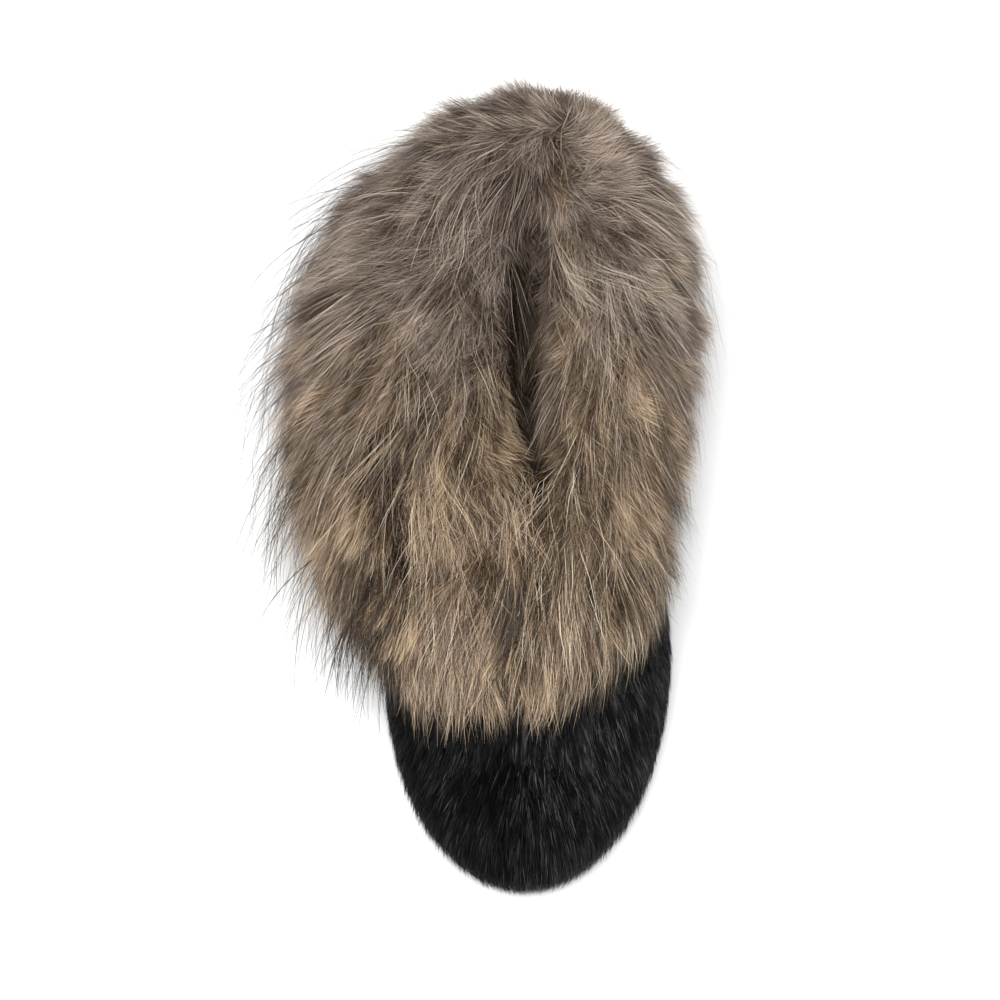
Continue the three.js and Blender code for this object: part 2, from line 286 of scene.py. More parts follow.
def even_curve(controls, shares):
    """Smooth line through control points, stepped evenly by length and run on straight past its ends."""
    steps = np.linspace(0, len(controls) - 1 - 1e-6, CURVE["steps"])
    i = steps.astype(int)
    t = (steps - i)[:, None]
    last = len(controls) - 1
    before = controls[np.maximum(i - 1, 0)]
    after = controls[np.minimum(i + 2, last)]
    line = smooth_between(before, controls[i], controls[i + 1], after, t)
    lengths = np.concatenate([[0], np.cumsum(np.linalg.norm(np.diff(line, axis=0), axis=1))])
    total = lengths[-1]
    inside = np.clip(shares, 0, 1) * total
    points = np.stack([np.interp(inside, lengths, line[:, axis]) for axis in range(3)], -1)
    ends = CURVE["end_steps"]
    head = unit(line[ends] - line[0])
    tail = unit(unit(line[-1] - line[-1 - ends]) + np.array([0, 0, -CURVE["droop"]]))
    points += np.minimum(shares, 0)[:, None] * total * head
    points += np.maximum(shares - 1, 0)[:, None] * total * tail
    return points


class FurForm:
    """The collar looked up by turn and share: points, outward directions and how they change."""

    def __init__(self):
        turns = np.arange(TURNS) * 360.0 / TURNS
        self.point = np.stack([even_curve(controls, SHARES) for controls in fall_lines(turns)])
        ahead = np.roll(self.point, -1, 0)
        behind = np.roll(self.point, 1, 0)
        self.per_turn = (ahead - behind) / (2 * 360.0 / TURNS)
        self.per_share = np.gradient(self.point, SHARES[1] - SHARES[0], axis=1)
        self.normal = unit(np.cross(self.per_turn, self.per_share))
        self.scale = np.linalg.norm(self.per_turn, axis=-1)

    def look(self, grid, turn, share):
        column = np.mod(turn, 360.0) * TURNS / 360.0
        row = np.clip((share - SHARES[0]) / (SHARES[1] - SHARES[0]), 0, len(SHARES) - 1.001)
        i = np.floor(column).astype(int) % TURNS
        j = np.floor(row).astype(int)
        fx = column - np.floor(column)
        fy = row - j
        if grid.ndim == 3:
            fx = fx[..., None]
            fy = fy[..., None]
        left = grid[i, j] * (1 - fy) + grid[i, j + 1] * fy
        right = grid[(i + 1) % TURNS, j] * (1 - fy) + grid[(i + 1) % TURNS, j + 1] * fy
        return left * (1 - fx) + right * fx

    def walk(self, turn, share, swirl, step):
        """One step in millimetres over the collar the way its hair is combed, turned aside by swirl."""
        angle = comb_side(turn) * comb_angle(turn, share) + swirl
        fall = np.interp(share, FALL["share"], FALL["weight"])
        aim = np.stack([np.sin(angle), -np.cos(angle), -fall], -1)
        out = self.look(self.normal, turn, share)
        aim = unit(aim - out * (aim * out).sum(-1, keepdims=True)) * step
        a = self.look(self.per_turn, turn, share)
        b = self.look(self.per_share, turn, share)
        aa = (a * a).sum(-1)
        ab = (a * b).sum(-1)
        bb = (b * b).sum(-1)
        left = (aim * a).sum(-1)
        right = (aim * b).sum(-1)
        spread = np.maximum(aa * bb - ab**2, STEP["spread"] * bb)
        turned = np.clip((left * bb - right * ab) / spread, -STEP["turn"], STEP["turn"])
        return turn + turned, share + (right * aa - left * ab) / spread


# Upper form
def rounded(t, fullness):
    return np.maximum(1 - np.clip(t, 0, 1) ** fullness, 0) ** (1 / fullness)


def half_width(side, at):
    ball = np.where(side > 0, BALL["medial"], BALL["lateral"])
    waist = np.where(side > 0, WAIST["medial"], WAIST["lateral"])
    heel = np.where(side > 0, HEEL["medial"], HEEL["lateral"])
    toe_part = ball * rounded(1 - at / BALL["at"], TOE_FULLNESS)
    mid_part = ball + (waist - ball) * ease((at - BALL["at"]) / (WAIST["at"] - BALL["at"]))
    back_part = waist + (heel - waist) * ease((at - WAIST["at"]) / (HEEL["at"] - WAIST["at"]))
    heel_part = heel * rounded((at - HEEL["at"]) / (LENGTH - HEEL["at"]), HEEL_FULLNESS)
    return np.select(
        [at < BALL["at"], at < WAIST["at"], at < HEEL["at"]],
        [toe_part, mid_part, back_part],
        heel_part,
    )


def outline_point(side, turn, grow):
    """Point of the sole outline, turn 0 at the toe and 1 at the heel, moved outward by grow."""

    def bare(t):
        at = LENGTH * (1 - np.cos(np.pi * t)) / 2
        return np.stack([side * half_width(side, at), at], -1)

    step = 0.004
    run = unit(bare(np.clip(turn + step, 0, 1)) - bare(np.clip(turn - step, 0, 1)))
    outward = np.stack([run[..., 1], -run[..., 0]], -1) * side[..., None]
    return bare(turn) + outward * np.asarray(grow)[..., None]


def upper_point(side, turn, lift, grow):
    """Point of the upper's outside: lift 0 at the sole and 1 at the ridge."""
    angle = np.pi / 2 * lift
    inward = 1 - np.maximum(np.cos(angle), 0) ** ACROSS_FULLNESS
    upward = np.sin(angle) ** UP_FULLNESS
    base = outline_point(side, turn, grow + BULGE * np.sin(2 * angle))
    share = (1 - np.cos(np.pi * turn)) / 2
    ridge_at = RIDGE_AT[0] + (RIDGE_AT[-1] - RIDGE_AT[0]) * share
    at = base[..., 1] + (ridge_at - base[..., 1]) * inward
    spring = TOE_SPRING * np.maximum(1 - base[..., 1] / SPRING_FROM, 0) ** 2
    height = (along_foot(RIDGE_AT, RIDGE_HEIGHT, at) + grow) * upward + spring * (1 - upward)
    return np.stack([base[..., 0] * (1 - inward), at - LENGTH / 2, FOOT + height], -1)


# The upper as hair meets it: wider than its outline, and ending below its topline
DOME = {"wider": 1.5, "below": 6.0}


def dome_height(points):
    """Height of the upper above the floor at each point's place in plan, or 0 beside it."""
    at = points[..., 1] + LENGTH / 2
    side = np.where(points[..., 0] > 0, 1.0, -1.0)
    wide = half_width(side, np.clip(at, 1, LENGTH - 1)) + DOME["wider"]
    across = np.clip(np.abs(points[..., 0]) / np.maximum(wide, 1e-6), 0, 1)
    cosine = across ** (1 / ACROSS_FULLNESS)
    rise = np.sqrt(np.maximum(1 - cosine**2, 0)) ** UP_FULLNESS
    height = FOOT + along_foot(RIDGE_AT, RIDGE_HEIGHT, at) * rise
    height = np.minimum(height, along_foot(TOPLINE_AT, TOPLINE_HEIGHT, at) - DOME["below"])
    return np.where(across < 1, height, 0)


# Materials: detail of the noise in a grain, and the height of its bump in metres
GRAIN = {"detail": 6, "height": 0.0006}


def new_material(name):
    material = bpy.data.materials.new(name)
    material.use_nodes = True
    nodes = material.node_tree.nodes
    return material, nodes, material.node_tree.links, nodes["Principled BSDF"]


def ramp(nodes, links, source, stops):
    node = nodes.new("ShaderNodeValToRGB")
    elements = node.color_ramp.elements
    while len(elements) < len(stops):
        elements.new(0.5)
    for element, (place, color) in zip(elements, stops):
        element.position = place
        element.color = (*color, 1)
    links.new(source, node.inputs["Fac"])
    return node.outputs["Color"]


def hair_material(name, tones, along, roughness, specular):
    """Colour from the strand map: across it runs from dark to pale hair, up it from root to tip. The darker
    roots are painted shade of the fur's depth.
    """
    material, nodes, links, shader = new_material(name)
    strand_map = nodes.new("ShaderNodeUVMap")
    strand_map.uv_map = "OFBake"
    split = nodes.new("ShaderNodeSeparateXYZ")
    links.new(strand_map.outputs["UV"], split.inputs[0])
    tone = ramp(nodes, links, split.outputs["X"], tones)
    shade = ramp(nodes, links, split.outputs["Y"], along)
    product = nodes.new("ShaderNodeMix")
    product.data_type = "RGBA"
    product.blend_type = "MULTIPLY"
    product.inputs["Factor"].default_value = 1
    links.new(tone, product.inputs["A"])
    links.new(shade, product.inputs["B"])
    links.new(product.outputs["Result"], shader.inputs["Base Color"])
    shader.inputs["Roughness"].default_value = roughness
    shader.inputs["Specular IOR Level"].default_value = specular
    return material


def mottled_material(name, dark, pale, scale, roughness, bump):
    """Colour and a fine bump from one noise, for skin, hide, rubber and pile."""
    material, nodes, links, shader = new_material(name)
    place = nodes.new("ShaderNodeTexCoord")
    noise = nodes.new("ShaderNodeTexNoise")
    noise.inputs["Scale"].default_value = scale
    noise.inputs["Detail"].default_value = GRAIN["detail"]
    links.new(place.outputs["Object"], noise.inputs["Vector"])
    color = ramp(nodes, links, noise.outputs["Fac"], [(0.3, dark), (0.7, pale)])
    links.new(color, shader.inputs["Base Color"])
    raised = nodes.new("ShaderNodeBump")
    raised.inputs["Strength"].default_value = bump
    raised.inputs["Distance"].default_value = GRAIN["height"]
    links.new(noise.outputs["Fac"], raised.inputs["Height"])
    links.new(raised.outputs["Normal"], shader.inputs["Normal"])
    shader.inputs["Roughness"].default_value = roughness
    return material


# Meshes from arrays

# Girth of a strand as a share of its width: at the root, how fast it swells, and how it thins to the tip
GIRTH = {"root": 0.75, "swell": 0.8, "thin": 0.9, "power": 2.2}
# Place of a strand on the map: ends of the tones, half width, root, and length from root to tip
STRAND_MAP = {"tones": (0.03, 0.97), "half": 0.006, "root": 0.02, "length": 0.96}


def mesh_from(name, vertices, loops, starts, material, uv=None):
    mesh = bpy.data.meshes.new(name)
    mesh.vertices.add(len(vertices))
    mesh.vertices.foreach_set("co", np.asarray(vertices * MM, dtype=np.float32).ravel())
    mesh.loops.add(len(loops))
    mesh.loops.foreach_set("vertex_index", np.asarray(loops, dtype=np.int32))
    mesh.polygons.add(len(starts))
    mesh.polygons.foreach_set("loop_start", np.asarray(starts, dtype=np.int32))
    if uv is not None:
        layer = mesh.uv_layers.new(name="OFBake")
        layer.data.foreach_set("uv", np.asarray(uv[loops], dtype=np.float32).ravel())
    mesh.update(calc_edges=True)
    mesh.validate()
    mesh.shade_smooth()
    mesh.materials.append(material)
    piece = bpy.data.objects.new(name, mesh)
    bpy.context.scene.collection.objects.link(piece)
    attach(piece, "root")
    return piece


def ribbons(name, path, facing, width, tone, material):
    """Flat tapered strands as one mesh. path and facing are strand by step by axis."""
    count, steps, _ = path.shape
    run = unit(np.gradient(path, axis=1))
    across = unit(np.cross(run, facing))
    t = np.linspace(0, 1, steps)
    girth = np.minimum(1, GIRTH["root"] + GIRTH["swell"] * t) * (1 - t ** GIRTH["power"] * GIRTH["thin"])
    spread = across * (width[:, None] * girth[None, :] / 2)[..., None]
    pairs = np.stack([path - spread, path + spread], 2)[:, :-1].reshape(count, -1, 3)
    vertices = np.concatenate([pairs, path[:, -1:]], 1)
    per = vertices.shape[1]
    half = STRAND_MAP["half"]
    u = np.clip(tone, *STRAND_MAP["tones"])[:, None]
    v = STRAND_MAP["root"] + STRAND_MAP["length"] * t
    pair_u = np.stack([u - half, u + half], -1).repeat(steps - 1, 1).reshape(count, -1)
    pair_v = np.repeat(v[:-1], 2)[None, :].repeat(count, 0)
    uv_u = np.concatenate([pair_u, u], 1)
    uv_v = np.concatenate([pair_v, np.full((count, 1), v[-1])], 1)
    uv = np.stack([uv_u, uv_v], -1).reshape(-1, 2)
    quad = np.array([[2 * k, 2 * k + 1, 2 * k + 3, 2 * k + 2] for k in range(steps - 2)]).ravel()
    one = np.concatenate([quad, [2 * steps - 4, 2 * steps - 3, 2 * steps - 2]]).astype(int)
    loops = (one[None, :] + per * np.arange(count)[:, None]).ravel()
    one_starts = np.arange(steps - 1) * 4
    starts = (one_starts[None, :] + len(one) * np.arange(count)[:, None]).ravel()
    return mesh_from(name, vertices.reshape(-1, 3), loops, starts, material, uv)


# Long fur
form = FurForm()
swirls = waves(np.random.default_rng(11), count=14, turn_rate=7, share_rate=9)
patches = waves(np.random.default_rng(13), count=16, turn_rate=11, share_rate=14)
# Tries for each root that is wanted, and the percentile of width that is kept in full
SCATTER = {"tries": 5, "full": 99}
# How far a parting runs on past its ends, over what it fades there, and how much wider hair turns aside
PARTING = {"past": 0.25, "fade": 0.35, "aside": 2.5}


def scatter(rng, count, shares, turns=(0.0, 360.0)):
    """Roots spread evenly over the collar between two shares and two turns."""
    tries = count * SCATTER["tries"]
    turn = rng.uniform(turns[0], turns[1], tries)
    share = rng.uniform(shares[0], shares[1], tries)
    weight = form.look(form.scale, turn, share)
    keep = np.nonzero(rng.uniform(0, np.percentile(weight, SCATTER["full"]), tries) < weight)[0][:count]
    return turn[keep], share[keep]


def parted(points):
    """Change of tone, how far the hair sinks and its turn aside in radians, at points near the partings. The
    change of tone is partly darker underfur and partly painted shade.
    """
    tone = np.zeros(len(points))
    sink = np.zeros(len(points))
    aside = np.zeros(len(points))
    for parting in PARTINGS:
        start, end = np.array(parting["ends"])
        run = end - start
        place = ((points[:, :2] - start) @ run) / (run @ run)
        off = points[:, 0] - start[0] - np.clip(place, 0, 1) * run[0]
        past = PARTING["past"]
        inside = fade(place, -past, PARTING["fade"]) * fade(place, 1 + past, -PARTING["fade"])
        close = np.exp(-((off / parting["wide"]) ** 2)) * inside
        tone += parting["tone"] * close
        sink += parting["sink"] * close
        wider = np.exp(-((off / (PARTING["aside"] * parting["wide"])) ** 2)) * inside
        aside += np.radians(parting["aside"]) * np.tanh(off / parting["wide"]) * wider
    return tone, sink, aside


def area_sum(column, points):
    total = np.zeros(len(points))
    for area in AREAS:
        off = (points[:, :2] - area["at"]) / np.array([area["across"], area["along"]])
        total += area[column] * np.exp(-(off**2).sum(-1))
    return total


class Tufts:
    """Places that hairs gather to, each with five values of its own from -1 to 1."""

    SPAN = (-0.12, 1.0)

    def __init__(self, seed, count):
        rng = np.random.default_rng(seed)
        self.turn, self.share = scatter(rng, count, self.SPAN)
        self.root = form.look(form.point, self.turn, self.share)
        self.value = rng.uniform(-1, 1, (len(self.turn), 5))
        self.tree = KDTree(len(self.turn))
        for i, root in enumerate(self.root):
            self.tree.insert(root, i)
        self.tree.balance()

    def nearest(self, points):
        return np.array([self.tree.find(point)[1] for point in points])


# Locks: narrow tufts that follow the comb together, each within a broad tuft that leans its own way. Bundles
# and streaks are tufts that only share a tone.
LOCK_LENGTH = 64.0
LOCK_STEPS = 9
# Turn of a lock off the comb in radians, by its cause, and the half width in degrees of what the heel causes
SWIRL = {"field": 0.3, "broad": 0.34, "lock": 0.14, "heel": 0.4, "heel_wide": 22.0}
# How the swirl changes from root to tip
SWIRL_ALONG = {"root": 1.1, "less": 0.3}
# Wave of a lock from side to side: radians, waves in its length, and the phase from broad tuft and lock
WAVE = {"turn": 0.34, "count": 0.9, "broad": 2.6, "lock": 0.9}
# How much calmer locks are at the throat and at the hem in front
CALM = {"throat_swirl": 0.65, "throat_wave": 0.6, "hem_wave": 0.7}
# How far the tips of locks gather to the middle of their broad tuft
GATHER = {"share": 0.4, "power": 1.3}
broad = Tufts(seed=51, count=640)
locks = Tufts(seed=52, count=7000)
bundles = Tufts(seed=54, count=2600)
streaks = Tufts(seed=53, count=15000)
lock_broad = broad.nearest(locks.root)
lock_underfur_and_shade, lock_sink, lock_aside = parted(locks.root)


def lock_paths():
    of_broad = broad.value[lock_broad]
    throat = region("throat", locks.turn, locks.share)
    front_hem = region("front_hem", locks.turn, locks.share)
    swirl = SWIRL["field"] * swirls(locks.turn, locks.share) + SWIRL["broad"] * of_broad[:, 0]
    swirl += SWIRL["lock"] * locks.value[:, 0]
    swirl *= 1 - CALM["throat_swirl"] * throat
    swirl += lock_aside + SWIRL["heel"] * locks.value[:, 3] * near_heel(locks.turn, SWIRL["heel_wide"])
    wave = WAVE["turn"] * (0.5 + 0.5 * np.abs(of_broad[:, 1]))
    wave *= 1 - CALM["hem_wave"] * front_hem
    wave *= 1 - CALM["throat_wave"] * throat
    phase = WAVE["broad"] * of_broad[:, 2] + WAVE["lock"] * locks.value[:, 2]
    turn, share = locks.turn, locks.share
    points, outs = [], []
    for t in np.linspace(0, 1, LOCK_STEPS):
        points.append(form.look(form.point, turn, share))
        outs.append(form.look(form.normal, turn, share))
        bend = swirl * (SWIRL_ALONG["root"] - SWIRL_ALONG["less"] * t)
        bend += wave * np.cos(2 * np.pi * WAVE["count"] * t + phase)
        turn, share = form.walk(turn, share, bend, LOCK_LENGTH / (LOCK_STEPS - 1))
    gather = GATHER["share"] * np.linspace(0, 1, LOCK_STEPS)[None, :, None] ** GATHER["power"]
    lean_to = broad.root[lock_broad] - locks.root
    return np.stack(points, 1) + lean_to[:, None] * gather, np.stack(outs, 1)


lock_path, lock_out = lock_paths()


def along_lock(grid, lock, t):
    place = np.clip(t, 0, 1) * (LOCK_STEPS - 1.001)
    i = place.astype(int)
    f = (place - i)[..., None]
    return grid[lock[:, None], i] * (1 - f) + grid[lock[:, None], i + 1] * f


# Box of the solids, and how far hair may stand out of it: a share of each side and a few millimetres
ROOM = [np.array(corner) / MM for corner in cad_box]
ROOM_MARGIN = 0.03 * (ROOM[1] - ROOM[0]) + 9


def kept_within_room(path):
    """Shortens hairs that would end too far outside the solids."""
    root = path[:, :1]
    reach = path - root
    high = (ROOM[1] + ROOM_MARGIN - root) / np.maximum(reach, 1e-6)
    low = (ROOM[0] - ROOM_MARGIN - root) / np.minimum(reach, -1e-6)
    share = np.where(reach > 0, high, low).min((1, 2))
    return root + reach * np.clip(share, 0, 1)[:, None, None]


# Under hair has two steps. At the hem in front most of it is left out, and what is above there is shorter.
UNDER_HAIR = {"steps": 2, "left_out": 0.9, "shorter": 0.4, "from": 0.72, "over": 0.1}
# What broad tufts and locks change: shares of a hair's length, and millimetres of its rise
VARIED = {"broad_length": 0.14, "lock_length": 0.12, "broad_rise": 5.5, "lock_rise": 3.0}
# Cosine of the turn that the front starts at, and over what it fades in
FRONT = {"start": 0.3, "over": 0.3}
# How tips gather to their lock, closer toward the hem
CLUMP = {"power": 1.2, "closer": 0.25, "from": 0.6, "over": 0.3, "most": 0.95}
# How hairs bend to a side of their own, and how much less toward the hem in front
STRAY = {"power": 1.6, "less": 0.6, "from": 0.6, "over": 0.25}
# Part of the collar that counts as its mouth, and where the whorl at the heel fades out down the collar
MOUTH_SHARE = 0.25
WHORL_END = {"start": 0.85, "over": -0.3}
# Shares of a root's depth that are lost at the front, the mouth and the whorl
SHALLOW = {"front": 0.45, "mouth": 0.6, "whorl": 0.85}
# Millimetres of rise that the mouth adds, the whorl takes, and broad tufts add or take at the whorl
RISE = {"mouth": 6.0, "whorl": 3.0, "whorl_tuft": 3.0}
# How soon a hair comes up to its full rise
ARCH = 0.35
# Height of hair over the upper, what single hairs add, and the share of a hair at its root that is exempt
OVER_UPPER = {"least": 4.0, "more": 3.0, "root": 0.3}
# Least height of hair over the floor, and how much its facing varies
OVER_FLOOR = 1.5
FACING_SPREAD = 0.3
# Where along a hair it shows, the millimetres that its streak slides along it to look ragged, and how many
# times as far its tuft and its bundle slide
SHOWN = {"at": 0.75, "slide": 4.0, "patch": 1.5, "bundle": 2.2}
# What each cause adds to the tone of a hair. What broad tufts and locks add goes with their height, as
# painted light on raised tufts and painted shade on sunk ones; what the inside adds is painted shade in the
# mouth.
TONE = {
    "patch": 0.18,
    "bundle": 0.12,
    "bundle_front": 0.17,
    "streak": 0.9,
    "streak_front": 0.6,
    "broad": 0.1,
    "lock": 0.06,
    "field": 0.07,
    "inside": -0.75,
    "front": -0.05,
    "golden": -0.12,
}
# Painted shade inside the mouth: down to a share, and from a cosine of the turn that leaves out the heel
PAINTED_MOUTH_SHADE = {"share": 0.19, "start": -0.4, "over": 0.6}
# What each cause adds to the gold of a hair, and how much of it makes a hair golden
GOLD = {"front": 0.75, "mouth": 0.3, "patch": 0.2, "hair": 0.15, "enough": 0.45}


def at_mouth(share):
    """1 at the inner edge of the collar, falling to 0 where the mouth ends."""
    return np.clip(1 - share / MOUTH_SHARE, 0, 1)


def hair_tones(rng, path, turn, share, lock, tones):
    """Places across the strand map. Hairs that show side by side share the tones of a tuft and a streak."""
    count, steps, _ = path.shape
    mine = locks.value[lock]
    wide = broad.value[lock_broad[lock]]
    cosine = np.cos(np.radians(turn))
    front = 0.5 + 0.5 * cosine
    place = SHOWN["at"] * (steps - 1)
    i = int(place)
    seen = path[:, i] * (1 - place + i) + path[:, i + 1] * (place - i)
    slide = unit(path[:, -1] - path[:, -2]) * rng.normal(0, SHOWN["slide"], (count, 1))
    patch = broad.value[broad.nearest(seen + SHOWN["patch"] * slide)]
    bundle = bundles.value[bundles.nearest(seen + SHOWN["bundle"] * slide)]
    streak = streaks.value[streaks.nearest(seen + slide)]
    tone = tones[0] + TONE["patch"] * patch[:, 0]
    tone += (TONE["bundle"] + TONE["bundle_front"] * front) * bundle[:, 0]
    tone += tones[1] * rng.normal(0, 1, count)
    tone += tones[2] * (TONE["streak"] + TONE["streak_front"] * front) * streak[:, 0]
    # Broad tufts and locks are paler the higher they stand: painted light and shade.
    painted_tuft_light_and_shade = TONE["broad"] * wide[:, 4] + TONE["lock"] * mine[:, 4]
    tone += painted_tuft_light_and_shade + TONE["field"] * patches(turn, share) + area_sum("tone", seen)
    # Painted shade inside the mouth, and at the partings partly darker underfur and partly painted shade.
    inside = np.clip(1 - share / PAINTED_MOUTH_SHADE["share"], 0, 1) * fade(cosine, PAINTED_MOUTH_SHADE["start"], PAINTED_MOUTH_SHADE["over"])
    tone += lock_underfur_and_shade[lock] + TONE["inside"] * inside + TONE["front"] * front**2

    # half of the map is cool taupe, the other half golden hair, which is at the front and the mouth
    gold = GOLD["front"] * front + GOLD["mouth"] * at_mouth(share) + GOLD["patch"] * patch[:, 3]
    gold += GOLD["hair"] * rng.normal(0, 1, count)
    gold += area_sum("gold", seen)
    golden = gold > GOLD["enough"]
    tone = np.clip(tone + TONE["golden"] * golden, 0.02, 0.98)
    return 0.5 * tone + 0.5 * golden


def long_strands(seed, count, steps, shares, length, depth, rise, stray, clump, tones, turns=(0.0, 360.0)):
    """Paths, facings and tones of hairs that come out of the skin and gather to the tips of their locks."""
    rng = np.random.default_rng(seed)
    turn, share = scatter(rng, int(count * DENSITY), shares, turns)
    under_hair = steps == UNDER_HAIR["steps"]
    if under_hair:
        bare = UNDER_HAIR["left_out"] * region("bare_hem", turn, share)
        stays = rng.uniform(0, 1, len(turn)) > bare
        turn = turn[stays]
        share = share[stays]
    count = len(turn)
    cosine = np.cos(np.radians(turn))
    root = form.look(form.point, turn, share)
    lock = locks.nearest(root)
    mine = locks.value[lock]
    wide = broad.value[lock_broad[lock]]
    long = rng.uniform(length[0], length[1], count)
    long *= 1 + VARIED["broad_length"] * wide[:, 3] + VARIED["lock_length"] * mine[:, 3]
    front = 0.5 + 0.5 * cosine
    if under_hair:
        long *= 1 - UNDER_HAIR["shorter"] * front**4 * fade(share, UNDER_HAIR["from"], UNDER_HAIR["over"])
    ends = FRINGE["from"] + FRINGE["by_lock"] * (0.5 + 0.5 * mine[:, 1])
    ends += FRINGE["by_hair"] * rng.uniform(0, 1, count) ** 2
    per_share = np.linalg.norm(form.look(form.per_share, turn, share), axis=-1)
    capped = np.minimum(long, (ends - share) * per_share)
    at_front = fade(cosine, FRONT["start"], FRONT["over"])
    long += (capped - long) * at_front
    t = np.linspace(0, 1, steps)[None, :]
    reached = t * (long / LOCK_LENGTH)[:, None]
    path = along_lock(lock_path, lock, reached)
    out = unit(along_lock(lock_out, lock, reached))
    apart = root - locks.root[lock]
    closer = CLUMP["closer"] * np.clip((share - CLUMP["from"]) / CLUMP["over"], 0, 1)
    tight = np.minimum(clump * (1 + closer), CLUMP["most"])
    path += apart[:, None] * (1 - tight[:, None] * t ** CLUMP["power"])[..., None]

    # own bend to the side, then height: out of the skin, over the neighbours
    run = unit(np.gradient(path, axis=1))
    aside = np.cross(run, out)
    loose = stray * (1 - STRAY["less"] * front * fade(share, STRAY["from"], STRAY["over"]))
    path += aside * (loose * rng.normal(0, 1, count))[:, None, None] * t[..., None] ** STRAY["power"]
    mouth = at_mouth(share)
    whorl = near_heel(turn, WHORL["wide"]) * fade(share, WHORL_END["start"], WHORL_END["over"])
    deep = depth * (1 - SHALLOW["front"] * front**2) * (1 - SHALLOW["mouth"] * mouth)
    deep *= 1 - SHALLOW["whorl"] * whorl
    top = rng.uniform(rise[0], rise[1], count)
    top += VARIED["broad_rise"] * wide[:, 4]
    top += VARIED["lock_rise"] * mine[:, 4]
    top += RISE["mouth"] * mouth
    top -= RISE["whorl"] * whorl
    top += RISE["whorl_tuft"] * wide[:, 4] * whorl - lock_sink[lock]
    height = -deep[:, None] + (deep + top)[:, None] * ((1 + ARCH) * t - ARCH * t**2)
    path += out * height[..., None]

    # clear of the upper and the floor, and inside the room that the solids leave
    outer = t > OVER_UPPER["root"]
    gap = OVER_UPPER["least"] + OVER_UPPER["more"] * rng.uniform(0, 1, count)[:, None]
    caught = np.maximum(dome_height(path) + gap - path[..., 2], 0) * outer
    path[..., 1] -= FRINGE["forward"] * caught * at_front[:, None]
    path[..., 2] = np.where(outer, np.maximum(path[..., 2], dome_height(path) + gap), path[..., 2])
    path[..., 2] = np.maximum(path[..., 2], OVER_FLOOR)
    path = kept_within_room(path)
    facing = unit(out + FACING_SPREAD * rng.normal(0, 1, (count, 1, 3)))

    return path, facing, hair_tones(rng, path, turn, share, lock, tones)


# Tones of the strand map from dark to pale, cool in its lower half and golden in its upper half
FUR_TONES = [
    (0.0, (0.02, 0.014, 0.01)),
    (0.18, (0.09, 0.067, 0.052)),
    (0.32, (0.203, 0.157, 0.127)),
    (0.495, (0.59, 0.485, 0.4)),
    (0.505, (0.02, 0.012, 0.007)),
    (0.66, (0.088, 0.059, 0.037)),
    (0.82, (0.26, 0.178, 0.112)),
    (1.0, (0.78, 0.6, 0.41)),
]
PALE_TONES = [(0.0, (0.45, 0.35, 0.25)), (0.5, (0.78, 0.68, 0.54)), (1.0, (0.85, 0.72, 0.53))]
# Darker roots in the ramps from root to tip below are painted shade of the fur's depth; the black tips of
# tipped hair are their own colour.
ROOT_SHADE = (0.2, 0.18, 0.16)
WHOLE = (1, 1, 1)
plush_hair = hair_material(
    "plush_hair",
    FUR_TONES,
    along=[(0.0, (0.26, 0.24, 0.22)), (0.45, (0.55, 0.53, 0.51)), (0.8, WHOLE)],
    roughness=0.7,
    specular=0.1,
)
guard_hair = hair_material(
    "guard_hair",
    FUR_TONES,
    along=[(0.0, ROOT_SHADE), (0.45, (0.62, 0.6, 0.58)), (0.85, WHOLE)],
    roughness=0.5,
    specular=0.3,
)
tipped_hair = hair_material(
    "tipped_hair",
    FUR_TONES,
    along=[(0.0, ROOT_SHADE), (0.55, WHOLE), (0.74, (0.04, 0.034, 0.03))],
    roughness=0.5,
    specular=0.2,
)
pale_hair = hair_material(
    "pale_hair",
    PALE_TONES,
    along=[(0.0, ROOT_SHADE), (0.5, WHOLE)],
    roughness=0.4,
    specular=0.5,
)

# Spread of the hairs' widths, and what is added to a set's seed to draw them
WIDTHS = {"spread": (0.7, 1.3), "seed": 100}
